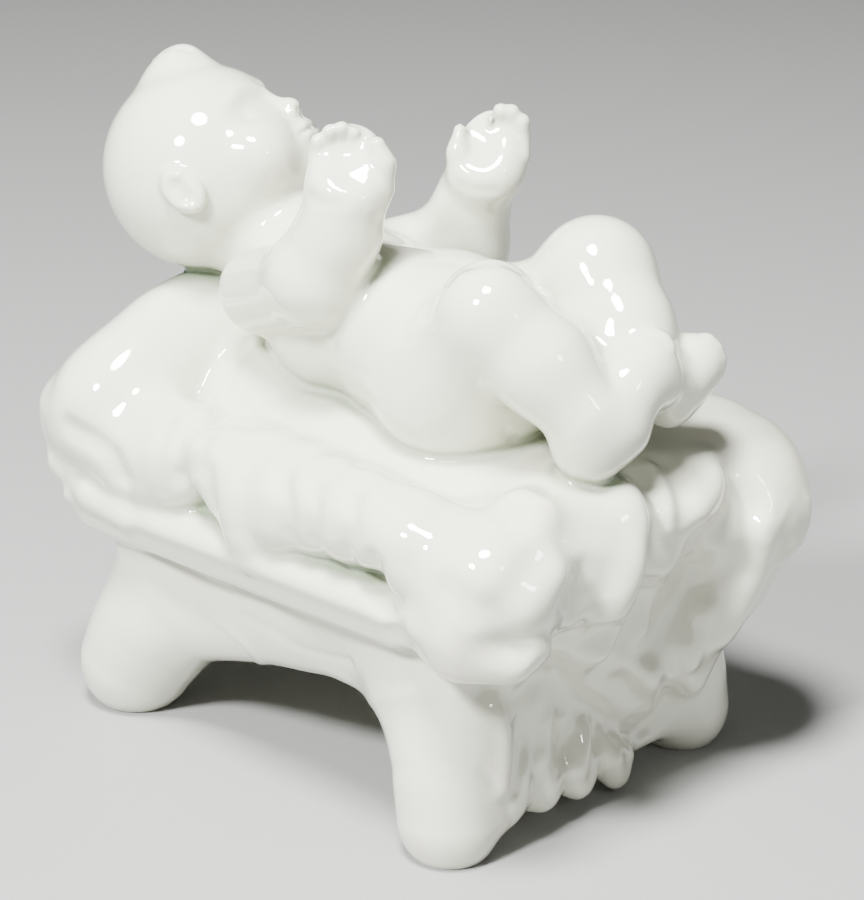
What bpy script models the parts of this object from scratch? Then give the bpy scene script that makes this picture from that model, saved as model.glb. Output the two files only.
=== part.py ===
# A white porcelain figurine, cast and glazed as one piece: an infant lies on its back with both hands
# raised, on a heap of straw that hangs over a small manger with four stubby feet.
# Metres, +Z up. +X is the foot end, -Y the long side that the infant's right hand is on.
# Every form is pressed from simple masses of clay: rounded balls, tapering rolls and soft-edged boards.
# They are laid together, skinned as one body and then settled onto the surface that blends them.

import math
from collections import namedtuple

import bmesh
import bpy
import numpy as np
from mathutils import Euler, Matrix, Vector

# Driving dimensions of the manger and its straw
MANGER_LENGTH = 0.100
MANGER_WIDTH = 0.080
BED_HEIGHT = 0.060
BELLY_HEIGHT = 0.020
APRON_GAP = 0.004
FOOT_RADIUS = 0.0085
LEG_RADIUS = 0.0110
RIM_LOW = 0.617 * BED_HEIGHT
RIM_LEDGE = 0.733 * BED_HEIGHT
RIM_TOP = 0.787 * BED_HEIGHT

# Driving dimensions of the infant, whose pose and girths are hundredths of the first
CROWN_TO_RUMP = 0.100
HEAD_RADIUS = 0.0190
WRIST_RADIUS = 0.0062
ANKLE_RADIUS = 0.0068

# How softly one mass runs into the next
LIMB_BLEND = 0.0028
CREASE_BLEND = 0.0014
STRAW_BLEND = 0.0040
FOLD_BLEND = 0.0060
LEG_BLEND = 0.0090
HIP_BLEND = 0.0060
GLAZE_FILLET = 0.0022

# The skin: voxel of the first rough skin, steps that settle it, and the facets that are kept
SKIN_VOXEL = 0.0011
SETTLING_STEPS = 10
FACETS = 9400
FOOT_SINK = 0.0030

GLAZE_COLOUR = (0.86, 0.87, 0.82, 1.0)


def on_manger(x, y, z):
    # A place in hundredths of the manger's length, its width and the height of the straw bed
    return Vector((x * MANGER_LENGTH, y * MANGER_WIDTH, z * BED_HEIGHT)) / 100


def on_infant(x, y, z):
    # A place in hundredths of the crown-to-rump length, from the middle of the straw bed's top
    return Vector((x, y, z)) * CROWN_TO_RUMP / 100 + Vector((0, 0, BED_HEIGHT))


def girth(percent):
    return percent * CROWN_TO_RUMP / 100


Mass = namedtuple("Mass", "distance clay middle reach blend")
Stroke = namedtuple("Stroke", "points width height")


def turned(turn):
    # Three angles in degrees as a matrix
    return Euler([math.radians(angle) for angle in turn]).to_matrix()


def ball(centre, radii, turn=(0, 0, 0), blend=LIMB_BLEND):
    # An egg-shaped mass
    spin = turned(turn) if isinstance(turn, tuple) else turn
    axes = np.array(spin)
    middle = np.array(centre)
    reach = np.array(radii)

    def distance(points):
        local = (points - middle) @ axes
        scaled = np.linalg.norm(local / reach, axis=1)
        steepness = np.linalg.norm(local / reach ** 2, axis=1)
        return scaled * (scaled - 1) / np.maximum(steepness, 1e-6)

    def clay(bm):
        place = Matrix.Translation(centre) @ spin.to_4x4() @ Matrix.Diagonal((*radii, 1))
        bmesh.ops.create_icosphere(bm, subdivisions=3, radius=1, matrix=place)

    return Mass(distance, clay, middle, max(radii), blend)


def roll(start, end, start_radius, end_radius, blend=LIMB_BLEND):
    # A tapering roll with round ends
    first = np.array(start)
    run = np.array(end) - first
    length_squared = float(run @ run)

    def distance(points):
        share = np.clip((points - first) @ run / length_squared, 0, 1)
        off = np.linalg.norm(points - first - share[:, None] * run, axis=1)
        return off - start_radius - (end_radius - start_radius) * share

    def clay(bm):
        # The skin stretched round the two end balls
        ends = bmesh.new()
        for centre, radius in ((start, start_radius), (end, end_radius)):
            bmesh.ops.create_icosphere(ends, subdivisions=2, radius=radius, matrix=Matrix.Translation(centre))
        hull = bmesh.ops.convex_hull(ends, input=ends.verts[:])
        inner = [item for item in hull["geom_interior"] if isinstance(item, bmesh.types.BMVert)]
        bmesh.ops.delete(ends, geom=inner, context="VERTS")
        stretched = bpy.data.meshes.new("roll")
        ends.to_mesh(stretched)
        ends.free()
        bm.from_mesh(stretched)
        bpy.data.meshes.remove(stretched)

    reach = math.sqrt(length_squared) / 2 + max(start_radius, end_radius)
    return Mass(distance, clay, first + run / 2, reach, blend)


def rolls(points, radii, blend=LIMB_BLEND):
    # A chain of rolls through several points
    return [roll(points[i], points[i + 1], radii[i], radii[i + 1], blend)
            for i in range(len(points) - 1)]


def block(centre, top_halves, low_halves, half_height, rounding, turn=(0, 0, 0), blend=LIMB_BLEND):
    # A soft-edged block, whose sides may lean in towards its foot
    spin = turned(turn)
    axes = np.array(spin)
    middle = np.array(centre)
    lean = (np.array(top_halves) - np.array(low_halves)) / (2 * half_height)
    waist = (np.array(top_halves) + np.array(low_halves)) / 2

    def distance(points):
        local = (points - middle) @ axes
        sides = np.abs(local[:, :2]) - (waist - rounding) - local[:, 2:] * lean
        beyond = np.column_stack((sides, np.abs(local[:, 2]) - (half_height - rounding)))
        outside = np.linalg.norm(np.maximum(beyond, 0), axis=1)
        return outside + np.minimum(beyond.max(axis=1), 0) - rounding

    def clay(bm):
        made = bmesh.ops.create_cube(bm, size=2)
        for corner in made["verts"]:
            halves = top_halves if corner.co.z > 0 else low_halves
            corner.co = Vector((corner.co.x * halves[0], corner.co.y * halves[1], corner.co.z * half_height))
            corner.co = Vector(centre) + spin @ corner.co

    reach = math.hypot(max(top_halves[0], low_halves[0]), max(top_halves[1], low_halves[1]), half_height)
    return Mass(distance, clay, middle, reach, blend)


def pressed(masses, strokes=()):
    # The surface that runs the masses softly into one another, as a distance, with ridges laid on it
    # and grooves drawn into it by the strokes
    def distance(points):
        total = np.full(len(points), 10.0)
        for mass in masses:
            off = np.linalg.norm(points - mass.middle, axis=1) - mass.reach
            near = np.flatnonzero(off < total + mass.blend)
            before = total[near]
            part = mass.distance(points[near])
            share = np.clip(0.5 + 0.5 * (before - part) / mass.blend, 0, 1)
            total[near] = before + (part - before) * share - mass.blend * share * (1 - share)
        for stroke in strokes:
            middle = stroke.points.mean(axis=0)
            reach = np.linalg.norm(stroke.points - middle, axis=1).max() + 3 * stroke.width
            near = np.flatnonzero(np.linalg.norm(points - middle, axis=1) < reach)
            close = np.full(len(near), np.inf)
            for start, end in zip(stroke.points[:-1], stroke.points[1:]):
                run = end - start
                share = np.clip((points[near] - start) @ run / (run @ run), 0, 1)
                close = np.minimum(close, np.linalg.norm(points[near] - start - share[:, None] * run, axis=1))
            total[near] -= stroke.height * np.exp(-(close / stroke.width) ** 2)
        return total

    return distance


def slope_of(distance, points, value):
    probe = SKIN_VOXEL / 10
    return np.stack([distance(points + step) - value for step in np.eye(3) * probe], axis=1) / probe


def snapped(points, distance):
    # The points moved onto the surface
    points = np.array(points, dtype=float)
    for _ in range(6):
        value = distance(points)
        slope = slope_of(distance, points, value)
        steep = np.maximum((slope ** 2).sum(axis=1), 0.2)
        points = points - (value / steep)[:, None] * slope
    return points


# The rim's two bevelled boards: half length and half width at the bottom, the ledge and the top, in hundredths
RIM_HALVES = ((45.8, 48.0), (49.0, 50.75), (47.0, 47.75))
RIM_TILT = -3
RIM_BLEND = 0.0022


def manger_masses():
    # The wooden manger: a trough that leans in towards its foot, on four splayed feet
    half_height = (RIM_LOW + 0.003 - BELLY_HEIGHT) / 2
    middle = on_manger(-2, 2.5, 0) + Vector((0, 0, BELLY_HEIGHT + half_height))
    masses = [block(middle, (0.435 * MANGER_LENGTH, 0.445 * MANGER_WIDTH),
                    (0.42 * MANGER_LENGTH, 0.36 * MANGER_WIDTH), half_height, 0.004, blend=STRAW_BLEND)]
    for side in (-1, 1):
        masses.append(roll(on_manger(-34, 2.5 + side * 34, 32), on_manger(-4, 2.5 + side * 34, 47), 0.008, 0.007,
                           HIP_BLEND))
    # The rim flares out to a ledge and leans back in above it
    lap = 0.0008
    bottom, ledge, top = (on_manger(*halves, 0)[:2] for halves in RIM_HALVES)
    for low, high, low_halves, high_halves in ((RIM_LOW, RIM_LEDGE + lap, bottom, ledge),
                                               (RIM_LEDGE - lap, RIM_TOP, ledge, top)):
        middle = on_manger(-2.5, 2.5, 0) + Vector((0, 0, (low + high) / 2))
        masses.append(block(middle, high_halves, low_halves, (high - low) / 2, 0.0018, (0, RIM_TILT, 0), RIM_BLEND))
    # The head-end board stands a little higher
    masses += rolls([on_manger(-34, -46, 70), on_manger(-43, -46, 74), on_manger(-51.5, -44, 78),
                     on_manger(-52.5, 2.5, 75), on_manger(-51.5, 47.5, 77)],
                    [0.0018, 0.0023, 0.0026, 0.0024, 0.0024], RIM_BLEND)
    masses.append(block(on_manger(-48, 2, 71), on_manger(4.5, 46, 0)[:2], on_manger(2.5, 45, 0)[:2], 0.005, 0.002,
                        (0, -12, 0), RIM_BLEND))
    for end, side in ((-1, -1), (1, -1), (1, 1), (-1, 1)):
        radius = FOOT_RADIUS * (1.16 if end < 0 else 1)
        hip = on_manger(-4 + end * 33, 2.5 + side * 31, 42)
        ankle = on_manger(-4 + end * 38, 2.5 + side * 35, 25)
        foot = on_manger(-5 + end * 40.5, 2.5 + side * 37, 0) + Vector((0, 0, radius - FOOT_SINK))
        masses += rolls([hip, ankle, foot], [LEG_RADIUS, 0.86 * radius, radius], LEG_BLEND)
    return masses


# The side of the straw heap: how far out it stands, in hundredths, at each height in hundredths
SIDE_HEIGHTS = (0, 20, 40, 60, 80, 93, 101)
SIDE_REACH = (38, 42, 44, 48, 50, 48, 41)


def on_side(outward, along, height):
    # A place on the side of the straw heap that faces outward
    out = np.interp(height, SIDE_HEIGHTS, SIDE_REACH)
    if outward[0]:
        return on_manger(outward[0] * out, along, height)
    return on_manger(along, outward[1] * out + 4, height)


# Locks of the fringe on the near side: where each starts and ends along it and how low it hangs, in hundredths,
# and its radius
FRINGE_BLEND = 0.0036
FRINGE = ((-50, -51.5, 87.5, 0.0040), (-43, -44, 84, 0.0042), (-36, -36.5, 74.5, 0.0048), (-30, -29.5, 75.5, 0.0044),
          (-23, -23, 79, 0.0042), (-14, -14, 88, 0.0036), (-8.5, -8.5, 82.5, 0.0040), (-3.5, -2.5, 76, 0.0046),
          (5, 5, 81, 0.0048), (12.5, 12.5, 83, 0.0048), (20, 20, 84.5, 0.0048), (27, 27, 86.5, 0.0044))


def straw_masses():
    # The heap: a thick pad, a mound under the back and a pillow under the head
    bed = [
        block(on_manger(0, 4, 86), on_manger(49, 46, 0)[:2], on_manger(46, 42, 0)[:2], 0.10 * BED_HEIGHT, 0.005,
              blend=STRAW_BLEND),
        ball(on_manger(-2, 3, 92), on_manger(50, 46, 21), blend=STRAW_BLEND),
        ball(on_manger(-44, -6, 106), on_manger(13, 37, 25), blend=STRAW_BLEND),
        ball(on_manger(-45, -35, 98), on_manger(11.5, 17, 20), blend=STRAW_BLEND),
        ball(on_manger(41, 38, 82), on_manger(16, 22, 25), blend=FOLD_BLEND),
        ball(on_manger(43, -33, 86), on_manger(13, 16, 19), blend=FOLD_BLEND),
        ball(on_manger(43, -14, 84), on_manger(13.5, 17, 20), blend=FOLD_BLEND),
        ball(on_manger(44, 10, 86), on_manger(12.5, 20, 19), blend=FOLD_BLEND),
        ball(on_manger(41, -7, 94), on_manger(11, 17, 14), blend=STRAW_BLEND),
        ball(on_manger(-24, 0, 104), on_manger(15, 26, 16), blend=STRAW_BLEND),
    ]
    # The curtain of straw that slants from the near corner across the foot end, down to the far foot
    curtain = (0.0055, 0.42 * MANGER_WIDTH)
    bed.append(block(on_manger(43.5, 2, 66), curtain, curtain, 0.20 * BED_HEIGHT, 0.004, (-30, 5, 0), CREASE_BLEND))
    bed += rolls([on_manger(47, 40, 78), on_manger(44, 36, 60), on_manger(42, 25, 45)], [0.010, 0.008, 0.006],
                 FOLD_BLEND)
    bed += rolls([on_manger(44, -42, 71), on_manger(52, -34, 69)], [0.0056, 0.0046], RIM_BLEND)
    for start, tip, height, radius in FRINGE:
        top = on_manger(start, -37.5, 97)
        low = on_manger(tip, -48.25, height) + Vector((0, radius, radius))
        bend = top.lerp(low, 0.6) + Vector((0, -0.0008, 0.0012))
        bed += rolls([top, bend, low], [radius + 0.0010, radius + 0.0005, radius], FRINGE_BLEND)
    for i in range(7):
        bed.append(ball(on_manger(-44 + 14 * i, 51, 82 + 3 * math.cos(2.1 * i)), (0.0078, 0.0050, 0.0085),
                        blend=FRINGE_BLEND))
    for along, height in ((-24, 24), (-12, 16), (0, 14), (12, 10)):
        bed.append(ball(on_manger(44, along, height), (0.0035, 0.0045, 0.0040)))
    for i in range(4):
        bed.append(ball(on_manger(-50, -34 + 25 * i, 82 + 4 * math.cos(1.7 * i)), (0.0055, 0.0085, 0.0080),
                        blend=FRINGE_BLEND))
    # The apron that hangs down at the foot end, almost to the ground
    apron_low = APRON_GAP
    apron_top = 0.78 * BED_HEIGHT
    half = (apron_top - apron_low) / 2
    bed.append(block(on_manger(38, 4, 0) + Vector((0, 0, apron_low + half)), on_manger(9, 38, 0)[:2],
                     on_manger(4, 29, 0)[:2], half, 0.004, (0, 0, 0), STRAW_BLEND))
    return bed


def straw_strokes(distance):
    # Locks combed over the edge: where each starts and ends along its side, how low it reaches,
    # its width and its height in tenths of a millimetre
    locks = []
    near = (0, -1)
    foot_end = (1, 0)
    table = [
        (near, -47, -50, 72, 30, 10), (near, -33, -36, 74, 26, 9), (near, -20, -25, 74, 26, 10),
        (near, -12, -13, 74, 20, -14), (near, 2, 1, 74, 26, 10), (near, 11, 10, 76, 18, -10),
        (near, 20, 19, 76, 24, 8), (near, 26, 24, 78, 14, -8), (near, 33, 31, 76, 22, 8),
        (foot_end, -22, -20, 66, 30, 12), (foot_end, -14, -13, 70, 22, -16), (foot_end, 0, -8, 50, 30, 18),
        (foot_end, 10, 4, 50, 22, -14), (foot_end, 14, 8, 26, 26, 12), (foot_end, 34, 22, 70, 26, -22),
        (foot_end, 26, 22, 24, 26, 12), (foot_end, 20, 14, 30, 20, -12), (foot_end, 44, 36, 40, 30, 10),
    ]
    for i in range(9):
        table.append(((0, 1), -44 + 11 * i, -44 + 11 * i + 3 * math.sin(i), 60, 26, 10 * (-1) ** i))
    for i in range(7):
        table.append(((-1, 0), -40 + 13 * i, -40 + 13 * i + 3 * math.cos(i), 60, 26, 10 * (-1) ** i))
    for outward, top, low, bottom, width, height in table:
        points = [on_side(outward, top + (low - top) * share, 104 + (bottom - 104) * share)
                  for share in np.linspace(0, 1, 5)]
        locks.append(Stroke(snapped(points, distance), width / 10000, height / 10000))
    return locks


# The head's own directions: out of the face, up to the crown and out of the right ear
FACE = Vector((0.47, 0.41, 0.78)).normalized()
CROWN = Vector((-0.75, -0.28, 0.60))
CROWN = (CROWN - CROWN.dot(FACE) * FACE).normalized()
RIGHT = FACE.cross(CROWN)
HEAD_AXES = Matrix((RIGHT, FACE, CROWN)).transposed()


def on_head(right, face, crown):
    # A place in shares of the head's radius, from its middle
    return on_infant(-46.4, -5.4, 36) + HEAD_AXES @ Vector((right, face, crown)) * HEAD_RADIUS


def on_head_ball(place, radii, blend=LIMB_BLEND):
    return ball(on_head(*place), tuple(r * HEAD_RADIUS for r in radii), HEAD_AXES, blend)


def head_masses():
    # A round skull with full cheeks, a small chin and nose, and a tuft of hair at the forehead
    masses = [
        on_head_ball((0, -0.02, 0.04), (0.92, 0.95, 0.94)),
        on_head_ball((0, 0.28, -0.28), (0.72, 0.66, 0.62)),
        on_head_ball((0, 0.68, -0.62), (0.24, 0.22, 0.20)),
        on_head_ball((0, 0.96, -0.24), (0.11, 0.10, 0.10), CREASE_BLEND),
    ]
    for side in (-1, 1):
        masses.append(on_head_ball((side * 0.40, 0.56, -0.38), (0.34, 0.30, 0.32)))
        masses.append(on_head_ball((side * 0.92, -0.02, -0.16), (0.10, 0.16, 0.22), CREASE_BLEND))
    masses.append(on_head_ball((-0.08, 0.32, 0.80), (0.30, 0.34, 0.27)))
    masses.append(on_head_ball((-0.10, 0.26, 0.98), (0.15, 0.17, 0.12)))
    return masses


def hand_masses(wrist, palm, palm_radii, palm_turn, knuckles, tips, finger_radius, thumb):
    # A palm, four fingers side by side between two knuckles and two tips, and a thumb
    masses = [ball(palm, palm_radii, palm_turn)]
    for i in range(4):
        share = i / 3
        start = knuckles[0].lerp(knuckles[1], share)
        end = tips[0].lerp(tips[1], share)
        masses.append(roll(start, end, finger_radius, 0.8 * finger_radius, CREASE_BLEND))
    masses += rolls(thumb, [1.3 * finger_radius, finger_radius])
    masses.append(roll(wrist, palm, WRIST_RADIUS, 0.9 * WRIST_RADIUS))
    return masses


def infant_masses():
    masses = head_masses()
    # Trunk: chest, belly and hips
    masses.append(ball(on_infant(-12, -1, 16), (girth(18), girth(17), girth(14.5)), (0, 8, 0)))
    masses.append(ball(on_infant(8, -1, 15.5), (girth(20), girth(17.5), girth(16)), (0, 4, 0)))
    masses.append(ball(on_infant(18, -2, 13), (girth(14), girth(17), girth(13)), blend=HIP_BLEND))
    masses.append(roll(on_infant(-36, -2, 26), on_infant(-22, 0, 20), girth(10), girth(12)))
    # Right arm and hand
    masses += rolls([on_infant(-22, -15, 21.5), on_infant(-2, -20, 25)], [girth(7.6), girth(7.2)])
    masses += rolls([on_infant(-2, -20, 26), on_infant(1.2, -17, 42)], [girth(7.6), WRIST_RADIUS])
    masses += hand_masses(on_infant(1.2, -17, 42), on_infant(1, -16.5, 47), (girth(6.4), girth(4.5), girth(6)),
                          (0, 0, 30), [on_infant(-4, -17, 48), on_infant(2, -15, 50)],
                          [on_infant(-3.5, -17.5, 52.5), on_infant(2, -15.5, 54)], girth(2.1),
                          [on_infant(6.6, -16, 45), on_infant(7.6, -16.5, 52.5)])
    # Left arm and hand
    masses += rolls([on_infant(-20, 12, 20), on_infant(-7, 18, 25)], [girth(8), girth(8)])
    masses += rolls([on_infant(-7, 18, 26), on_infant(-2.5, 18.5, 38)], [girth(8), girth(6.8)])
    masses += hand_masses(on_infant(-2.5, 18.5, 38), on_infant(0.5, 19, 43.5), (girth(6.2), girth(4.2), girth(6)),
                          (0, 0, 20), [on_infant(0, 19.5, 46), on_infant(5.5, 19, 45)],
                          [on_infant(1.5, 17.5, 50.5), on_infant(5.5, 16.5, 48.5)], girth(2.1),
                          [on_infant(-4, 18, 41), on_infant(-5.2, 16.5, 46)])
    # Legs, drawn up and crossed at the feet
    masses += rolls([on_infant(18, -11, 12.5), on_infant(29.6, -13, 29.2)], [girth(10.5), girth(8.2)], HIP_BLEND)
    masses += rolls([on_infant(29.6, -13, 29.2), on_infant(45, -7, 16)], [girth(8), ANKLE_RADIUS])
    masses += rolls([on_infant(45, -6, 10.5), on_infant(51, 2, 17.5), on_infant(56, 8.5, 21.5)],
                    [girth(6.2), girth(6.2), girth(4.8)])
    masses += rolls([on_infant(17, 11, 15), on_infant(29.4, 12.5, 29.4)], [girth(11), girth(9.6)], HIP_BLEND)
    masses += rolls([on_infant(29.4, 12.5, 29.4), on_infant(46, 6, 18)], [girth(9.6), ANKLE_RADIUS])
    masses += rolls([on_infant(48, 9, 11), on_infant(53, 0, 18)], [girth(5.6), girth(4.6)])
    return masses


def luted(first, second, fillet):
    # Two pressed bodies stuck together, with a fillet of glaze where they meet
    def distance(points):
        one = first(points)
        two = second(points)
        share = np.clip(0.5 + 0.5 * (one - two) / fillet, 0, 1)
        return one + (two - one) * share - fillet * share * (1 - share)

    return distance


def rough_skin(masses):
    # One closed skin round all the masses
    bm = bmesh.new()
    for mass in masses:
        mass.clay(bm)
    mesh = bpy.data.meshes.new("infant_on_manger")
    bm.to_mesh(mesh)
    bm.free()
    body = bpy.data.objects.new("infant_on_manger", mesh)
    bpy.context.collection.objects.link(body)
    skin = body.modifiers.new("Skin", "REMESH")
    skin.mode = "VOXEL"
    skin.voxel_size = SKIN_VOXEL
    return body


def apply_modifiers(body):
    done = bpy.data.meshes.new_from_object(body.evaluated_get(bpy.context.evaluated_depsgraph_get()))
    body.modifiers.clear()
    body.data = done


def settle(mesh, distance):
    # Move each corner onto the blended surface, and ease it along that surface between the moves
    corners = np.empty(len(mesh.vertices) * 3)
    mesh.vertices.foreach_get("co", corners)
    corners = corners.reshape(-1, 3)
    edges = np.empty(len(mesh.edges) * 2, dtype=np.int64)
    mesh.edges.foreach_get("vertices", edges)
    edges = edges.reshape(-1, 2)
    count = len(corners)
    neighbours = np.bincount(edges.ravel(), minlength=count)[:, None]
    for _ in range(SETTLING_STEPS):
        value = distance(corners)
        slope = slope_of(distance, corners, value)
        steep = np.maximum((slope ** 2).sum(axis=1), 0.2)
        move = np.clip(value / steep, -SKIN_VOXEL, SKIN_VOXEL)
        corners = corners - move[:, None] * slope
        normal = slope / np.sqrt(steep)[:, None]
        total = np.stack([
            np.bincount(edges[:, 0], corners[edges[:, 1], axis], count)
            + np.bincount(edges[:, 1], corners[edges[:, 0], axis], count) for axis in range(3)], axis=1)
        ease = total / neighbours - corners
        ease -= (ease * normal).sum(axis=1)[:, None] * normal
        corners = corners + 0.5 * ease
    mesh.vertices.foreach_set("co", corners.ravel())
    mesh.update()


def flatten_feet(mesh):
    # The feet are ground flat at the height the figurine stands on
    bm = bmesh.new()
    bm.from_mesh(mesh)
    everything = bm.verts[:] + bm.edges[:] + bm.faces[:]
    cut = bmesh.ops.bisect_plane(bm, geom=everything, dist=1e-6, plane_co=(0, 0, 0),
                                 plane_no=(0, 0, -1), clear_outer=True)
    rims = [item for item in cut["geom_cut"] if isinstance(item, bmesh.types.BMEdge)]
    bmesh.ops.holes_fill(bm, edges=rims, sides=0)
    bmesh.ops.triangulate(bm, faces=bm.faces[:])
    bmesh.ops.recalc_face_normals(bm, faces=bm.faces[:])
    bm.to_mesh(mesh)
    bm.free()


def glazed_porcelain():
    glaze = bpy.data.materials.new("white_glazed_porcelain")
    glaze.use_nodes = True
    shader = glaze.node_tree.nodes["Principled BSDF"]
    shader.inputs["Base Color"].default_value = GLAZE_COLOUR
    shader.inputs["Roughness"].default_value = 0.08
    shader.inputs["Metallic"].default_value = 0.0
    return glaze


def make_figurine():
    bed = manger_masses() + straw_masses()
    infant = infant_masses()
    body = rough_skin(bed + infant)
    apply_modifiers(body)
    locks = straw_strokes(pressed(bed))
    settle(body.data, luted(pressed(bed, locks), pressed(infant), GLAZE_FILLET))
    thin = body.modifiers.new("Facets", "DECIMATE")
    thin.ratio = FACETS / (2 * len(body.data.polygons))
    apply_modifiers(body)
    flatten_feet(body.data)
    corners = np.array([corner.co for corner in body.data.vertices])
    middle = (corners.min(axis=0) + corners.max(axis=0)) / 2
    body.location = (-middle[0], -middle[1], 0)
    body.data.materials.append(glazed_porcelain())
    body.data.shade_smooth()
    return body


for thing in list(bpy.data.objects):
    bpy.data.objects.remove(thing)
make_figurine()
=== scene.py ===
# Nativity infant in white glazed porcelain, lying on a heap of straw over a small four-footed manger.
# The casting is sculpted in millimetres at its real size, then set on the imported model.
import math
from collections import namedtuple

import bmesh
import bpy
import numpy as np
from mathutils import Euler, Matrix, Vector


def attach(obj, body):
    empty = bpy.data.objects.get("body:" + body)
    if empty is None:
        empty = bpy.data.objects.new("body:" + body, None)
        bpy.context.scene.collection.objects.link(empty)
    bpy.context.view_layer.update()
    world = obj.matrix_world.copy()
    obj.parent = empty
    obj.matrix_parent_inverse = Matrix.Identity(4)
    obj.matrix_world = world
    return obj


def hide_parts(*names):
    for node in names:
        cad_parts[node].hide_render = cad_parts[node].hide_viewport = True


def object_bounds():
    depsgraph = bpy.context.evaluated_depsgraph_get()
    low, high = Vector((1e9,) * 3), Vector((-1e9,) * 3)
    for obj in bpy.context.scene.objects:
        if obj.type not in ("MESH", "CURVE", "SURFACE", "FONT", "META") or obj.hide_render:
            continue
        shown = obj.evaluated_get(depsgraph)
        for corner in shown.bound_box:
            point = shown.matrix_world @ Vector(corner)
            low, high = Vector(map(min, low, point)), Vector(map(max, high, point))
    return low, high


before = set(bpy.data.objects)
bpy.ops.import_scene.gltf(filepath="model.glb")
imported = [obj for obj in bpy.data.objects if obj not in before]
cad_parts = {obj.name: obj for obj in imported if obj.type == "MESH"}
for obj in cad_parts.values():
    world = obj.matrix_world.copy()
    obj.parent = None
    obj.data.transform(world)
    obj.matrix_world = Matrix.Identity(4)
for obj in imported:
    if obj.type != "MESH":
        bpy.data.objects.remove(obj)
cadLow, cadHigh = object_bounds()
print("frame loaded, packed box", [round(v, 4) for v in (*cadLow, *cadHigh)])

# the photograph's view of the sculpture, in millimetres, degrees and pixels
photoView = {
    "azimuth": 45.0, "elevation": 24.5, "distance": 500.0, "pixelsPerMm": 5.65,
    "aim": (0.0, 0.0, 30.0), "slide": (-16.0, 126.0), "frame": (864, 900),
}

manger = {"length": 100.0, "width": 80.0, "bed": 60.0, "belly": 20.0, "apronGap": 4.0,
          "footRadius": 8.5, "legRadius": 11.0, "ankleShare": 0.86, "headEndStout": 1.4, "footSink": 3.0}
infant = {"crownToRump": 100.0, "headRadius": 19.0}
blends = {"limb": 2.8, "crease": 1.4, "fine": 0.7, "straw": 4.0, "leg": 9.0, "hip": 6.0, "glazeFillet": 1.8}
skin = {"roughVoxel": 1.0, "fineVoxel": 0.55, "roughMoves": 8, "fineMoves": 4, "triangles": 190000}
# the cells of space, the points measured at a time, and the distances that stand for far off
field = {"cell": 8.0, "batch": 4000, "leastBlend": 4, "beyond": 1000.0, "farthest": 4.0, "leastSlope": 0.2}
# sight lines: how far before the aim they start, their steps, and the share of the free way that each takes
sighting = {"ahead": 110, "steps": 110, "share": 0.85}


def onManger(x, y, z):
    # hundredths of the manger's length, width and bed height
    return Vector((x * manger["length"], y * manger["width"], z * manger["bed"])) / 100


def onInfant(x, y, z):
    # hundredths of the infant's crown-to-rump length, from the middle of the straw's top
    return Vector((x, y, z)) * infant["crownToRump"] / 100 + Vector((0, 0, manger["bed"]))


# Clay: balls, rolls and soft blocks, each with its measures and a rough lump of mesh
Mass = namedtuple("Mass", "kind measures lump middle reach blend")
Stroke = namedtuple("Stroke", "points width height middle reach")


def turned(turn):
    return Euler([math.radians(angle) for angle in turn]).to_matrix()


def ball(centre, radii, turn=(0, 0, 0), blend=blends["limb"]):
    spin = turned(turn) if isinstance(turn, tuple) else turn

    def lump(bm):
        place = Matrix.Translation(centre) @ spin.to_4x4() @ Matrix.Diagonal((*radii, 1))
        bmesh.ops.create_icosphere(bm, subdivisions=3, radius=1, matrix=place)

    measures = (np.array(centre), np.array(spin), np.array(radii))
    return Mass("ball", measures, lump, np.array(centre), max(radii), blend)


def ballDistance(points, measures):
    centres, spins, radii = (np.array(column) for column in zip(*measures))
    local = np.matmul(points[None] - centres[:, None], spins) / radii[:, None]
    scaled = np.linalg.norm(local, axis=2)
    steepness = np.linalg.norm(local / radii[:, None], axis=2)
    return scaled * (scaled - 1) / np.maximum(steepness, 1e-6)


def roll(start, end, startRadius, endRadius, blend=blends["limb"]):
    first = np.array(start)
    run = np.array(end) - first

    def lump(bm):
        ends = bmesh.new()  # the skin stretched round the two end balls
        for centre, radius in ((start, startRadius), (end, endRadius)):
            bmesh.ops.create_icosphere(ends, subdivisions=2, radius=radius, matrix=Matrix.Translation(centre))
        hull = bmesh.ops.convex_hull(ends, input=ends.verts[:])
        inner = [item for item in hull["geom_interior"] if isinstance(item, bmesh.types.BMVert)]
        bmesh.ops.delete(ends, geom=inner, context="VERTS")
        stretched = bpy.data.meshes.new("stretched")
        ends.to_mesh(stretched)
        ends.free()
        bm.from_mesh(stretched)
        bpy.data.meshes.remove(stretched)

    reach = np.linalg.norm(run) / 2 + max(startRadius, endRadius)
    return Mass("roll", (first, run, startRadius, endRadius - startRadius), lump, first + run / 2, reach, blend)


def alongRuns(points, firsts, runs):
    # each point's share of the way along each run, and its distance from it
    offset = points[None] - firsts[:, None]
    lengthSquared = np.maximum((runs ** 2).sum(axis=1), 1e-9)
    share = np.clip(np.einsum("kni,ki->kn", offset, runs) / lengthSquared[:, None], 0, 1)
    return share, np.linalg.norm(offset - share[..., None] * runs[:, None], axis=2)


def rollDistance(points, measures):
    firsts, runs, radii, widening = (np.array(column) for column in zip(*measures))
    share, off = alongRuns(points, firsts, runs)
    return off - radii[:, None] - widening[:, None] * share


def rolls(points, radii, blend=blends["limb"]):
    return [roll(points[i], points[i + 1], radii[i], radii[i + 1], blend) for i in range(len(points) - 1)]


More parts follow.
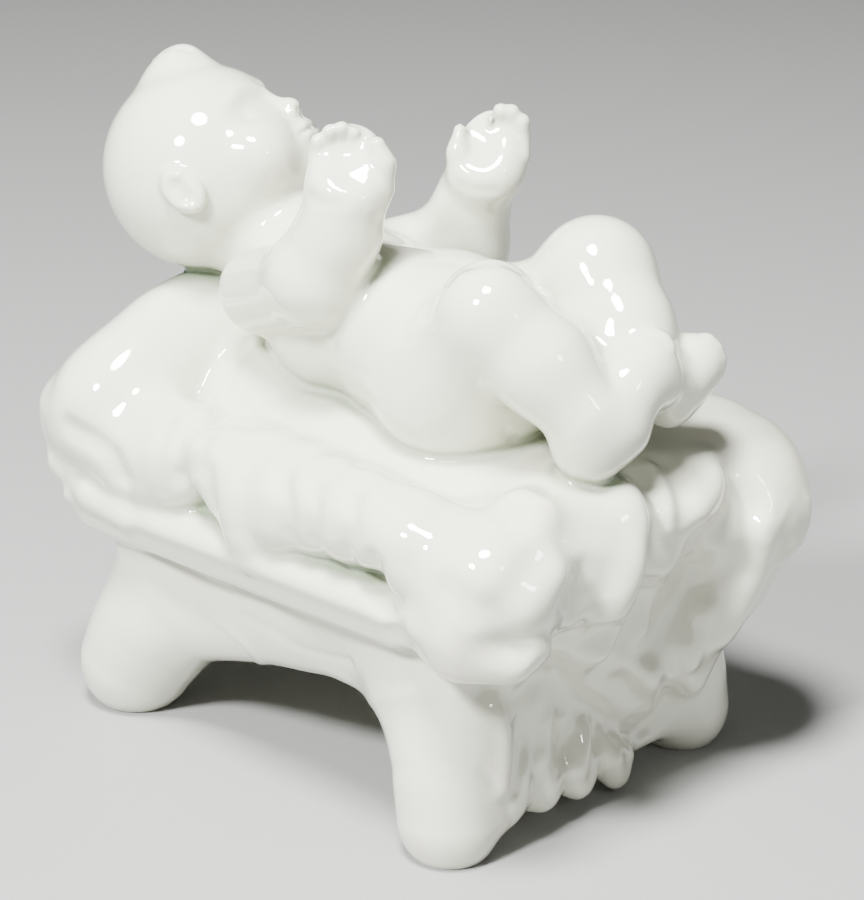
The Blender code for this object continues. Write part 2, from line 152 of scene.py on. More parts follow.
def block(centre, topHalves, lowHalves, halfHeight, rounding, turn=(0, 0, 0), blend=blends["limb"]):
    spin = turned(turn)

    def lump(bm):
        made = bmesh.ops.create_cube(bm, size=2)
        for corner in made["verts"]:
            halves = topHalves if corner.co.z > 0 else lowHalves
            corner.co = Vector((corner.co.x * halves[0], corner.co.y * halves[1], corner.co.z * halfHeight))
            corner.co = Vector(centre) + spin @ corner.co

    top, low = np.array(topHalves), np.array(lowHalves)
    reach = math.hypot(max(top[0], low[0]), max(top[1], low[1]), halfHeight)
    measures = (np.array(centre), np.array(spin), (top - low) / (2 * halfHeight), (top + low) / 2 - rounding,
                halfHeight - rounding, rounding)
    return Mass("block", measures, lump, np.array(centre), reach, blend)


def blockDistance(points, measures):
    made = []
    for centre, spin, lean, waist, halfHeight, rounding in measures:
        local = (points - centre) @ spin
        sides = np.abs(local[:, :2]) - waist - local[:, 2:] * lean
        beyond = np.column_stack((sides, np.abs(local[:, 2]) - halfHeight))
        outside = np.linalg.norm(np.maximum(beyond, 0), axis=1)
        made.append(outside + np.minimum(beyond.max(axis=1), 0) - rounding)
    return np.array(made)


measuring = {"ball": ballDistance, "roll": rollDistance, "block": blockDistance}


def stroke(points, width, height):
    # a ridge laid along a line, or a groove where the height is negative
    line = np.array([tuple(point) for point in points], dtype=float)
    middle = line.mean(axis=0)
    return Stroke(line, width, height, middle, np.linalg.norm(line - middle, axis=1).max() + 3 * width)


def pressed(masses, strokes=()):
    # the distance to the surface that runs the masses softly together, with the strokes drawn on it;
    # space is cut into cells, and each cell keeps only the clay that reaches it
    cell = field["cell"]
    half = cell * math.sqrt(3) / 2
    kept = {}

    def gathered(centre):
        near = [m for m in masses if np.linalg.norm(m.middle - centre)
                < m.reach + half + max(m.blend, field["leastBlend"])]
        kinds = {kind: [i for i, m in enumerate(near) if m.kind == kind] for kind in measuring}
        lines = [s for s in strokes if np.linalg.norm(s.middle - centre) < s.reach + half]
        return near, kinds, lines

    def local(points, near, kinds, lines):
        parts = np.empty((len(near), len(points)))
        for kind, chosen in kinds.items():
            if chosen:
                parts[chosen] = measuring[kind](points, [near[i].measures for i in chosen])
        total = np.full(len(points), field["beyond"])
        for mass, part in zip(near, parts):
            share = np.clip(0.5 + (0.5 / mass.blend) * (total - part), 0, 1)
            total += (part - total) * share - mass.blend * share * (1 - share)
        if lines:
            firsts = np.concatenate([line.points[:-1] for line in lines])
            runs = np.concatenate([np.diff(line.points, axis=0) for line in lines])
            off = alongRuns(points, firsts, runs)[1]
            starts = np.cumsum([0] + [len(line.points) - 1 for line in lines[:-1]])
            widths = np.array([line.width for line in lines])[:, None]
            heights = np.array([line.height for line in lines])[:, None]
            total -= (heights * np.exp(-(np.minimum.reduceat(off, starts) / widths) ** 2)).sum(axis=0)
        return total

    def distance(points):
        result = np.empty(len(points))
        keys, which = np.unique(np.floor(points / cell).astype(np.int64), axis=0, return_inverse=True)
        which = which.ravel()
        order = np.argsort(which, kind="stable")
        edges = np.searchsorted(which[order], np.arange(len(keys) + 1))
        for i, key in enumerate(map(tuple, keys)):
            if key not in kept:
                kept[key] = gathered((np.array(key) + 0.5) * cell)
            for start in range(edges[i], edges[i + 1], field["batch"]):
                chosen = order[start:min(start + field["batch"], edges[i + 1])]
                result[chosen] = local(points[chosen], *kept[key])
        return np.minimum(result, field["farthest"])

    return distance


def luted(first, second, fillet):
    # two pressed bodies stuck together, with a fillet of glaze where they meet
    def distance(points):
        one = first(points)
        two = second(points)
        share = np.clip(0.5 + 0.5 * (one - two) / fillet, 0, 1)
        return one + (two - one) * share - fillet * share * (1 - share)

    return distance


def probed(distance, points, probe=0.05):
    # the distance at each point, and its slope
    count = len(points)
    values = distance(np.concatenate([points] + [points + step for step in np.eye(3) * probe]))
    value = values[:count]
    return value, (values[count:].reshape(3, count) - value).T / probe


def snapped(points, distance):
    points = np.array([tuple(point) for point in points], dtype=float)
    for _ in range(6):  # moves onto the surface
        value, slope = probed(distance, points)
        points = points - (value / np.maximum((slope ** 2).sum(axis=1), field["leastSlope"]))[:, None] * slope
    return points


# Drawing on the clay from where the photograph was taken
def viewAxes():
    a = math.radians(photoView["azimuth"])
    e = math.radians(photoView["elevation"])
    back = Vector((math.sin(a) * math.cos(e), -math.cos(a) * math.cos(e), math.sin(e)))
    right = Vector((math.cos(a), math.sin(a), 0))
    return back, right, back.cross(right)


def throughPixels(pixels):
    # a smooth line through the drawn pixels
    perSpan = 5
    drawn = np.array(pixels, dtype=float)
    drawn = np.vstack((2 * drawn[0] - drawn[1], drawn, 2 * drawn[-1] - drawn[-2]))
    line = []
    for i in range(1, len(drawn) - 2):
        a, b, c, d = drawn[i - 1:i + 3]
        for t in np.linspace(0, 1, perSpan, endpoint=False):
            line.append(0.5 * (2 * b + (c - a) * t + (2 * a - 5 * b + 4 * c - d) * t * t
                               + (3 * b - 3 * c + d - a) * t ** 3))
    line.append(drawn[-2])
    return np.array(line)


def seen(x, y, depth):
    # the place behind a pixel of the photograph, so many millimetres nearer than the aim point
    back, right, up = viewAxes()
    spread = (1 - depth / photoView["distance"]) / photoView["pixelsPerMm"]
    across = (x - photoView["frame"][0] / 2 - photoView["slide"][0]) * spread
    down = (y - photoView["frame"][1] / 2 - photoView["slide"][1]) * spread
    return Vector(photoView["aim"]) + right * across - up * down + back * depth


def seenBall(x, y, depth, radii, blend=blends["limb"]):
    # radii across the view, towards it and up it
    back, right, up = viewAxes()
    return ball(seen(x, y, depth), radii, Matrix((right, back, up)).transposed(), blend)


def droppedFrom(pixels, distance):
    # where the sight lines of those pixels meet the clay
    back, right, up = (np.array(axis) for axis in viewAxes())
    scale = photoView["pixelsPerMm"] * photoView["distance"]
    across = (pixels[:, 0] - photoView["frame"][0] / 2 - photoView["slide"][0]) / scale
    down = (pixels[:, 1] - photoView["frame"][1] / 2 - photoView["slide"][1]) / scale
    rays = right * across[:, None] - up * down[:, None] - back
    rays /= np.linalg.norm(rays, axis=1)[:, None]
    eye = np.array(photoView["aim"]) + back * photoView["distance"]
    points = eye + rays * (photoView["distance"] - sighting["ahead"])
    nearest = points.copy()
    least = np.full(len(points), np.inf)
    for _ in range(sighting["steps"]):
        value = distance(points)
        better = value < least
        nearest[better] = points[better]
        least = np.minimum(least, value)
        points = points + rays * np.maximum(value, 0)[:, None] * sighting["share"]
    return snapped(nearest, distance)


def drawn(pixels, width, height, distance):
    return stroke(droppedFrom(throughPixels(pixels), distance), width, height)


# Manger: a leaning trough on four splayed feet, with a flared rim of boards
rim = {"low": 37.0, "ledge": 44.0, "top": 47.2, "middle": (-2.5, 2.0), "lowHalves": (45.8, 38.4),
       "ledgeHalves": (49.0, 40.6), "topHalves": (47.0, 38.2), "tilt": -2.0, "softness": 2.0, "blend": 2.6}


def mangerMasses():
    halfHeight = (rim["low"] + 3 - manger["belly"]) / 2
    middle = onManger(-2, 2.5, 0) + Vector((0, 0, manger["belly"] + halfHeight))
    masses = [block(middle, onManger(43.5, 44.5, 0)[:2], onManger(42, 36, 0)[:2], halfHeight, 4,
                    blend=blends["straw"])]
    for side in (-1, 1):  # the belly hangs lower towards the head end
        masses.append(roll(onManger(-34, 2.5 + side * 34, 32), onManger(-4, 2.5 + side * 34, 47), 8, 7,
                           blends["hip"]))
    for low, high, lowHalves, highHalves in (
            (rim["low"], rim["ledge"] + 0.8, rim["lowHalves"], rim["ledgeHalves"]),
            (rim["ledge"] - 0.8, rim["top"], rim["ledgeHalves"], rim["topHalves"])):
        masses.append(block(Vector((*rim["middle"], (low + high) / 2)), highHalves, lowHalves, (high - low) / 2,
                            rim["softness"], (0, rim["tilt"], 0), rim["blend"]))
    # the head-end board stands higher, and its corner shows under the pillow
    masses += rolls([Vector((-34, -37.0, 42.2)), Vector((-43, -37.2, 44.4)), Vector((-53.0, -34.6, 47.0)),
                     Vector((-53.5, 2, 45.0)), Vector((-52.5, 38, 46.0))], [1.8, 2.4, 3.2, 2.8, 2.8], rim["blend"])
    masses.append(block(Vector((-48.0, 1.5, 42.5)), (4.5, 37), (2.5, 36), 5.0, 2, (0, -12, 0), rim["blend"]))
    for end, side in ((-1, -1), (1, -1), (1, 1), (-1, 1)):
        stout = manger["headEndStout"] if end < 0 else 0
        hip = onManger(-4 + end * 33, 2.5 + side * 31, 42)
        ankle = onManger(-4 + end * 38, 2.5 + side * 35, 25)
        footRadius = manger["footRadius"] + stout
        foot = onManger(-5 + end * 40.5, 2.5 + side * 37, 0) + Vector((0, 0, footRadius - manger["footSink"]))
        ankleRadius = manger["ankleShare"] * manger["footRadius"] + stout
        masses += rolls([hip, ankle, foot], [manger["legRadius"], ankleRadius, footRadius], blends["leg"])
    return masses


# Straw: a thick pad, a mound under the back and a pillow under the head
fringe = {  # locks over the near edge: where each starts and ends along it, how low and how far out, its radius
    "near": [(-52.5, -54, 49.0, -37.6, 4.4), (-47, -48, 49.5, -39.4, 4.2), (-41, -41.5, 48.6, -39.2, 4.2),
             (-35.5, -36, 44.8, -38.8, 4.8), (-29.5, -29, 45.4, -38.2, 4.4), (-23, -23, 47.4, -37.8, 4.4),
             (-14, -14, 52.5, -37.6, 3.6), (-8.5, -8.5, 49.0, -38.8, 4.0), (-3.5, -2.5, 44.0, -40.0, 4.6),
             (4, 4.5, 47.8, -38.8, 4.8), (12, 12, 49.6, -38.2, 4.8), (19.5, 19.5, 50.4, -38.2, 4.8),
             (26.5, 27, 51.0, -38.6, 4.6), (32, 33, 49.0, -38.4, 4.6)],
    "topInset": 30.0, "topHeight": 58.0, "farFace": 44.5, "headFace": -57.4, "blend": 4.2,
    "far": (13, -50, 7.2), "head": (9, -24, 7.4),  # how many locks, where the first is, and the step
}


def fringeLock(top, tip, outward, radius):
    bend = top.lerp(tip, 0.6) + outward * 0.8 + Vector((0, 0, 1.2))
    return rolls([top, bend, tip], [radius + 1, radius + 0.5, radius], fringe["blend"])


def strawMasses():
    soft = blends["straw"]
    bed = [
        block(onManger(0, 4, 86), onManger(49, 46, 0)[:2], onManger(46, 42, 0)[:2], 0.10 * manger["bed"], 5,
              blend=soft),
        ball(onManger(-2, 3, 92), onManger(50, 46, 21), blend=soft),
        ball(onManger(-44, -6, 106), onManger(13, 37, 25), blend=soft),
        ball(onManger(-45, -35, 98), onManger(11.5, 17, 20), blend=soft),
        ball(onManger(41, 38, 82), onManger(16, 22, 25), blend=7),
        ball(onManger(43, -33, 86), onManger(13, 16, 19), blend=6),
        ball(onManger(43, -14, 84), onManger(13.5, 17, 20), blend=6),
        ball(onManger(44, 10, 86), onManger(12.5, 20, 19), blend=6),
        ball(onManger(41, -7, 94), onManger(11, 17, 14), blend=soft),
        ball(onManger(-24, 0, 104), onManger(15, 26, 16), blend=soft),
    ]
    for startX, tipX, tipHeight, face, radius in fringe["near"]:
        bed += fringeLock(Vector((startX, -fringe["topInset"], fringe["topHeight"])),
                          Vector((tipX, face + radius, tipHeight + radius)), Vector((0, -1, 0)), radius)
    count, first, step = fringe["far"]
    for i in range(count):
        x = first + step * i
        radius = 4.2 + 0.5 * math.sin(2.3 * i)
        tip = Vector((x + 1.2 * math.sin(1.7 * i), fringe["farFace"] - radius,
                      47 + 3 * math.sin(1.9 * i + 1) + radius))
        bed += fringeLock(Vector((x, 35, 58)), tip, Vector((0, 1, 0)), radius)
    count, first, step = fringe["head"]
    for i in range(count):
        y = first + step * i
        radius = 4.0 + 0.5 * math.sin(2.1 * i)
        tip = Vector((fringe["headFace"] + radius, y + math.sin(1.3 * i), 49 + 2.5 * math.sin(2.2 * i) + radius))
        bed += fringeLock(Vector((-50, y, 60)), tip, Vector((-1, 0, 0)), radius)
    # the curtain slants from the near corner across the foot end, down to the far foot
    curtain = (5.5, 0.42 * manger["width"])
    bed.append(block(onManger(43.5, 2, 66), curtain, curtain, 12, 4, (-30, 5, 0), 3.0))
    bed += rolls([Vector((47, 32, 47)), Vector((44, 29, 36)), Vector((42, 20, 27))], [10, 8, 6], 6)
    bed += rolls([Vector((44, -33.5, 42.5)), Vector((52, -27.5, 41.5))], [5.6, 4.6], 2.4)
    for along, height in ((-24, 20), (-14, 15), (-3, 13), (9, 10)):
        bed.append(ball(onManger(41.5, along, height), (3.0, 3.4, 5.4), blend=soft))
    apronTop = 0.78 * manger["bed"]
    half = (apronTop - manger["apronGap"]) / 2
    bed.append(block(onManger(38, 4, 0) + Vector((0, 0, manger["apronGap"] + half)), onManger(6.5, 36, 0)[:2],
                     onManger(3, 29, 0)[:2], half, 3, blend=soft))
    bed += rolls([onManger(38, -32, 44), onManger(39.5, -27, 14)], [4.2, 4], soft)
    return bed


# lines drawn over the photograph, in its pixels: the locks, folds and grooves of the straw
strawDrawing = {  # width, height, pixels
    "cornerCrease": (2.0, -1.4, [(70, 428), (97, 444), (112, 458), (122, 476)]),
    "lobeCrease": (2.8, -1.3, [(445, 592), (469, 607), (493, 620), (512, 645), (546, 671)]),
    "lobeEdge": (2.4, -1.4, [(372, 566), (384, 600), (400, 642), (420, 668), (441, 680)]),
    "lobeShade": (2.6, -1.4, [(490, 692), (518, 697), (542, 679)]),
    "cornerNotch": (3.0, -1.2, [(500, 612), (518, 588), (536, 562)]),
    "cornerRidge": (3.0, 1.0, [(536, 540), (556, 566), (570, 586)]),
    "pit": (3.6, -2.2, [(576, 594), (584, 602)]),
    "pitArc": (2.8, -1.2, [(592, 572), (606, 580), (604, 606), (586, 628), (560, 640)]),
    "mainRidge": (3.4, 2.4, [(628, 500), (638, 530), (636, 560), (627, 590), (614, 618), (600, 648)]),
    "deepGroove": (3.4, -2.8, [(656, 548), (650, 575), (640, 604), (630, 634), (614, 664)]),
    "hollowDiagonal": (6.5, -3.2, [(706, 556), (684, 600), (656, 648)]),
    "foldUnderHeelA": (2.6, -1.0, [(640, 478), (652, 500), (658, 524)]),
    "foldUnderHeelB": (2.4, -0.9, [(664, 462), (678, 490), (684, 520)]),
    "foldUnderHeelC": (2.6, 0.8, [(654, 470), (668, 498), (674, 528)]),
    "brightLobe": (3.6, 1.3, [(706, 460), (716, 482), (706, 512)]),
    "hollowRight": (3.4, -2.0, [(740, 504), (730, 530), (706, 550), (680, 552)]),
    "grooveRight": (2.8, -1.4, [(734, 470), (748, 505), (746, 540), (734, 572)]),
    "rightRidge": (3.0, 1.3, [(760, 530), (762, 562), (746, 600), (726, 636)]),
    "middleFold": (2.4, 1.1, [(724, 552), (716, 582), (706, 612)]),
    "grooveMiddle": (2.6, -1.5, [(692, 576), (680, 606), (668, 630), (655, 652)]),
    "middleRidge": (2.4, 1.3, [(704, 610), (698, 634), (690, 664)]),
    "lowRidge": (3.0, 1.8, [(654, 636), (652, 670), (645, 702)]),
    "grooveLow": (2.6, -1.6, [(677, 672), (668, 700), (652, 722)]),
    "crossCrease": (2.4, -1.7, [(549, 674), (570, 699), (595, 714), (619, 733), (641, 728)]),
    "underLobe": (2.6, 1.0, [(575, 668), (600, 690), (628, 706)]),
    "apronRidgeA": (1.8, 1.2, [(546, 722), (541, 760)]),
    "apronRidgeB": (1.8, 1.2, [(586, 726), (580, 768)]),
    "apronRidgeC": (1.8, 1.2, [(603, 732), (613, 760)]),
    "apronGapA": (1.8, -1.2, [(566, 728), (560, 772)]),
    "apronGapB": (1.6, -1.0, [(596, 738), (594, 776)]),
    "apronGapC": (1.8, -1.0, [(630, 740), (632, 766)]),
    "webA": (1.6, 0.9, [(498, 700), (505, 740), (502, 790)]),
    "webB": (1.6, -0.9, [(522, 700), (524, 745), (516, 790)]),
    "fringeA": (2.0, -0.9, [(232, 408), (206, 434), (182, 476)]),
    "fringeB": (1.8, -0.6, [(170, 420), (158, 452), (162, 492)]),
    "fringeC": (2.0, -0.7, [(278, 470), (288, 505), (290, 534)]),
    "fringeD": (2.0, -0.7, [(353, 493), (352, 520), (346, 552)]),
    "fringeE": (1.8, -0.5, [(312, 480), (316, 510), (314, 540)]),
    "notch": (2.4, -1.2, [(204, 474), (208, 500)]),
    "troughA": (0.9, -0.3, [(241, 616), (270, 628), (300, 648), (350, 661)]),
    "troughB": (0.8, -0.3, [(147, 552), (180, 566), (230, 592)]),
    "troughC": (1.0, 0.3, [(200, 604), (240, 640), (262, 664)]),
    "troughD": (0.9, -0.3, [(482, 770), (500, 790), (513, 824)]),
}
# loose strands combed down each side: the side, where they start and end along it, their highest and
# lowest height, and how many
combed = [("foot", -34, 38, 58, 12, 46), ("near", -48, 36, 66, 50, 40), ("far", -46, 48, 62, 46, 40),
          ("head", -30, 40, 70, 50, 26)]


def strandPlace(side, along, height):
    # a place outside the straw, level with where a strand passes
    sides = {"foot": (60, along, height), "near": (along, -46, height), "far": (along, 52, height),
             "head": (-64, along, height)}
    return np.array(sides[side], dtype=float)


def strawStrokes(bed):
    surface = pressed(bed)
    strokes = [drawn(pixels, width, height, surface) for width, height, pixels in strawDrawing.values()]
    draw = np.random.default_rng(7)
    for side, first, last, high, low, count in combed:
        for i in range(count):
            along = first + (last - first) * (i + draw.uniform(0.2, 0.8)) / count
            top = low + (high - low) * draw.uniform(0.45, 1)
            bottom = max(low, top - draw.uniform(9, 18))
            slide = draw.uniform(-2.5, 2.5) - (4 if side == "foot" else 0)
            heights = np.linspace(top, bottom, 5)
            places = [strandPlace(side, along + slide * t + 0.6 * math.sin(5 * t + i), z)
                      for t, z in zip(np.linspace(0, 1, 5), heights)]
            width, height = draw.uniform(1.0, 2.0), draw.uniform(0.2, 0.55) * draw.choice([-1, 1])
            strokes.append(stroke(snapped(places, surface), width, height))
    return strokes


# Infant
faceOut = Vector((0.47, 0.41, 0.78)).normalized()
crownUp = Vector((-0.75, -0.28, 0.60))
crownUp = (crownUp - crownUp.dot(faceOut) * faceOut).normalized()
earOut = faceOut.cross(crownUp)
headAxes = Matrix((earOut, faceOut, crownUp)).transposed()


def onHead(right, face, crown):
    return onInfant(-46.4, -5.4, 36) + headAxes @ Vector((right, face, crown)) * infant["headRadius"]


def headBall(place, radii, blend=blends["limb"]):
    return ball(onHead(*place), tuple(r * infant["headRadius"] for r in radii), headAxes, blend)


def headMasses():
    masses = [
        headBall((0, -0.02, 0.04), (0.92, 0.95, 0.94)),  # skull
        headBall((0, 0.28, -0.28), (0.72, 0.66, 0.62)),  # face
        headBall((0, 0.68, -0.62), (0.24, 0.22, 0.20)),  # chin
        headBall((0, 0.96, -0.25), (0.11, 0.095, 0.10), blends["crease"]),  # nose
        roll(onHead(0, 0.84, 0.02), onHead(0, 0.91, -0.20), 1.6, 1.9, blends["crease"]),
        headBall((0, 0.74, -0.47), (0.26, 0.20, 0.17)),  # mouth
    ]
    for side in (-1, 1):  # cheek, ear, wing of the nose and closed lids
        masses.append(headBall((side * 0.40, 0.56, -0.38), (0.34, 0.30, 0.32)))
        masses.append(headBall((side * 0.92, -0.02, -0.15), (0.10, 0.17, 0.24), blends["crease"]))
        masses.append(headBall((side * 0.085, 0.95, -0.30), (0.05, 0.055, 0.045), blends["fine"]))
        masses.append(headBall((side * 0.33, 0.76, -0.10), (0.16, 0.12, 0.11), blends["fine"]))
    # the tuft over the forehead
    masses.append(headBall((-0.06, 0.30, 0.61), (0.34, 0.40, 0.27)))
    masses.append(headBall((-0.09, 0.42, 0.84), (0.22, 0.28, 0.19), 5.0))
    return masses


# Hands and feet by their places in the photograph: pixel, depth and radius
hands = {
    "near": {"depth": 43.0, "palm": ((349, 164), (6.2, 3.0, 6.6)), "heel": ((348, 188), (6.5, 4.6, 5.0)),
             "fingers": [((321, 168), (320, 142), 0.0), ((331, 164), (331, 133), 0.8),
                         ((342, 163), (342, 130), 1.0), ((353, 166), (353, 135), 0.6)],
             "thumb": [(378, 186), (382, 164), (376, 146)], "hollow": [(346, 150), (345, 162), (349, 172)]},
    "far": {"depth": 18.5, "palm": ((492, 148), (6.0, 3.0, 6.6)), "heel": ((486, 172), (6.2, 4.8, 5.4)),
            "fingers": [((488, 150), (489, 120), 1.2), ((499, 150), (500, 112), 1.0),
                        ((509, 152), (511, 113), 0.6), ((519, 156), (521, 122), 0.0)],
            "thumb": [(466, 176), (460, 152), (462, 130)], "hollow": [(480, 128), (484, 140), (482, 152)]},
}
fingerRadius = 1.55
palmHollow = (3.0, -1.8)  # width and height


def handMasses(hand):
    depth = hand["depth"]
    masses = [seenBall(*hand[part][0], depth, hand[part][1]) for part in ("palm", "heel")]
    for base, tip, curl in hand["fingers"]:
        middle = seen((base[0] + tip[0]) / 2, (base[1] + tip[1]) / 2, depth - 0.4)
        masses += rolls([seen(*base, depth), middle, seen(*tip, depth + 1.2 + curl)],
                        [fingerRadius * 1.25, fingerRadius * 1.1, fingerRadius], blends["fine"])
    root, joint, tip = (seen(*place, depth + lift) for place, lift in zip(hand["thumb"], (0.5, 1.6, 2.4)))
    masses += rolls([root, joint, tip], [2.5, 2.0, 1.6], blends["crease"])
    return masses


def toes(places, depth, radii):
    return [seenBall(x, y, depth, (r, r, r), blends["fine"]) for (x, y), r in zip(places, radii)]


def infantMasses():
    masses = headMasses()
    hip = blends["hip"]
    # trunk, neck and shoulders
    masses.append(ball(onInfant(-12, -1, 16), (18, 17, 14.5), (0, 8, 0)))
    masses.append(ball(onInfant(8, -1, 15.5), (20, 17.5, 16), (0, 4, 0)))
    masses.append(ball(onInfant(18, -2, 13), (14, 17, 13), blend=hip))
    masses.append(ball(onInfant(2, -9, 20), (13, 10, 11), blend=hip))
    masses.append(roll(onInfant(-36, -2, 26), onInfant(-22, 0, 20), 10, 12))
    # right arm
    masses += rolls([onInfant(-22, -15, 21.5), seen(312, 280, 34.5)], [7.6, 7.4])
    masses += rolls([seen(315, 274, 35), seen(338, 234, 39), seen(347, 200, 42.2)], [7.8, 6.7, 6.3])
    masses += handMasses(hands["near"])
    masses.append(seenBall(368, 294, 25, (6, 8, 7), hip))
    # left arm
    masses += rolls([onInfant(-20, 12, 20), onInfant(-7, 18, 25)], [8, 8])
    masses += rolls([onInfant(-7, 18, 26), onInfant(-3, 18.5, 38)], [8.2, 6.2])
    masses += handMasses(hands["far"])
    # legs, drawn up and crossed at the feet
    masses += rolls([onInfant(18, -11, 12.5), onInfant(29.6, -13, 29.2)], [10.5, 8.2], hip)
    masses += rolls([onInfant(29.6, -13, 29.2), onInfant(38, -9.5, 22), onInfant(45, -7, 15)], [8, 8, 6.6])
    masses += rolls([onInfant(17, 11, 15), onInfant(29.4, 12.5, 29.4)], [11, 9.6], hip)
    masses += rolls([onInfant(29.4, 12.5, 29.4), onInfant(38, 9.5, 23), onInfant(46, 6, 18)], [9.6, 8.4, 6.4])
    masses.append(roll(onInfant(25, 0, 20), onInfant(41, 1, 15), 6.5, 6, hip))
    # right foot, heel down and toes up
    masses += rolls([seen(590, 444, 49.6), seen(612, 424, 50), seen(632, 384, 49.4), seen(650, 358, 48.4)],
                    [6.3, 5.8, 4.6, 3.5])
    masses += toes([(641, 345), (649, 340), (656, 338), (663, 341), (668, 348)], 49.2, [1.9, 1.5, 1.45, 1.4, 1.3])
    # left foot behind it
    masses += rolls([seen(668, 400, 38), seen(680, 374, 39), seen(698, 361, 39.5)], [4.6, 5.4, 4.4])
    masses += toes([(706, 344), (714, 350), (718, 360), (716, 370), (710, 379)], 40.2, [1.8, 1.5, 1.45, 1.4, 1.3])
    return masses


# lines on the body: face, ears, creases; the head's are in shares of its radius, the others in pixels
headDrawing = [  # width, height, places out to the side, out of the face and up, mirrored to both sides
    (3.0, -1.3, [(0.20, 0.9, -0.05), (0.34, 0.9, -0.04), (0.46, 0.8, -0.06)]),  # eye socket
    (0.42, -0.5, [(0.17, 0.9, -0.12), (0.24, 0.9, -0.165), (0.33, 0.9, -0.18), (0.42, 0.85, -0.16),
                  (0.48, 0.8, -0.12)]),  # closed lids
    (0.5, -0.28, [(0.19, 0.9, -0.02), (0.27, 0.9, 0.035), (0.36, 0.9, 0.04), (0.45, 0.8, 0.0)]),  # lid crease
    (1.6, 0.4, [(0.14, 0.95, 0.12), (0.32, 0.95, 0.19), (0.50, 0.8, 0.12)]),  # brow
    (1.2, -0.15, [(0.17, 0.95, -0.33), (0.26, 0.9, -0.42), (0.29, 0.9, -0.52)]),  # fold from nose to mouth
    (0.45, -0.55, [(0.035, 1.05, -0.335), (0.055, 1.05, -0.33)]),  # nostril
    (0.7, 0.7, [(1.0, 0.10, -0.03), (1.0, -0.02, 0.05), (1.0, -0.14, -0.04), (1.0, -0.15, -0.20),
                (1.0, -0.06, -0.34)]),  # rim of the ear
    (1.2, -1.3, [(1.0, 0.0, -0.12), (1.0, -0.02, -0.22)]),  # hollow of the ear
]
middleDrawing = [
    (0.5, -0.25, [(0, 1.0, -0.37), (0, 1.0, -0.43)]),  # under the nose
    (0.8, 0.5, [(-0.17, 0.95, -0.50), (-0.06, 0.98, -0.455), (0, 0.98, -0.465), (0.06, 0.98, -0.455),
                (0.17, 0.95, -0.50)]),  # upper lip
    (0.9, 0.6, [(-0.12, 0.95, -0.555), (0, 0.98, -0.575), (0.12, 0.95, -0.555)]),  # lower lip
    (0.42, -0.8, [(-0.19, 0.9, -0.505), (-0.08, 0.95, -0.51), (0, 0.95, -0.52), (0.08, 0.95, -0.51),
                  (0.19, 0.9, -0.505)]),  # the line between the lips
    (1.0, -0.4, [(-0.10, 0.9, -0.635), (0, 0.9, -0.645), (0.10, 0.9, -0.635)]),  # over the chin
    (1.0, 0.5, [(-0.20, 0.15, 0.95), (-0.12, 0.38, 0.98), (-0.16, 0.55, 0.85)]),  # locks of the tuft
    (0.7, -0.5, [(-0.06, 0.20, 1.0), (-0.02, 0.42, 0.95), (-0.04, 0.58, 0.82)]),
    (0.7, -0.4, [(-0.24, 0.25, 0.98), (-0.24, 0.45, 0.9)]),
]
bodyDrawing = [  # width, height, pixels
    (1.2, -0.4, [(309, 196), (322, 203), (340, 204)]),  # right wrist
    (1.0, -0.3, [(458, 184), (474, 190), (494, 191)]),  # left wrist
    (1.4, -0.7, [(442, 288), (462, 268), (500, 262), (528, 276), (556, 306)]),  # fold over the right thigh
    (0.9, -0.7, [(505, 432), (513, 440)]),  # under the thigh
]


def infantStrokes(surface):
    lines = []
    for width, height, places in headDrawing:
        for side in (-1, 1):
            lines.append((width, height, [(side * right, face, crown) for right, face, crown in places]))
    strokes = [stroke(snapped([onHead(*place) for place in places], surface), width, height)
               for width, height, places in lines + middleDrawing]
    for hand in hands.values():
        strokes.append(drawn(hand["hollow"], *palmHollow, surface))
    return strokes + [drawn(pixels, width, height, surface) for width, height, pixels in bodyDrawing]


# Skin
def cornersOf(mesh):
    corners = np.empty(len(mesh.vertices) * 3)
    mesh.vertices.foreach_get("co", corners)
    return corners.reshape(-1, 3)


def applyModifiers(body):
    done = bpy.data.meshes.new_from_object(body.evaluated_get(bpy.context.evaluated_depsgraph_get()))
    body.modifiers.clear()
    body.data = done


def remeshed(body, voxel):
    modifier = body.modifiers.new("Skin", "REMESH")
    modifier.mode = "VOXEL"
    modifier.voxel_size = voxel
    applyModifiers(body)


def settle(mesh, distance, steps, longest, easing=0.5):
    # each corner goes onto the surface, and is eased along it between the moves
    corners = cornersOf(mesh)
    edges = np.empty(len(mesh.edges) * 2, dtype=np.int32)
    mesh.edges.foreach_get("vertices", edges)
    edges = edges.reshape(-1, 2)
    count = len(corners)
    neighbours = np.bincount(edges.ravel(), minlength=count)[:, None]
    for step in range(steps):
        value, slope = probed(distance, corners)
        steep = np.maximum((slope ** 2).sum(axis=1), field["leastSlope"])
        corners = corners - np.clip(value / steep, -longest, longest)[:, None] * slope
        if step == steps - 1 or not easing:
            continue
        normal = slope / np.sqrt(steep)[:, None]
        sums = [np.bincount(edges[:, 0], corners[edges[:, 1], axis], count)
                + np.bincount(edges[:, 1], corners[edges[:, 0], axis], count) for axis in range(3)]
        ease = np.stack(sums, axis=1) / neighbours - corners
        ease -= (ease * normal).sum(axis=1)[:, None] * normal
        corners = corners + easing * ease
    mesh.vertices.foreach_set("co", corners.ravel())
    mesh.update()


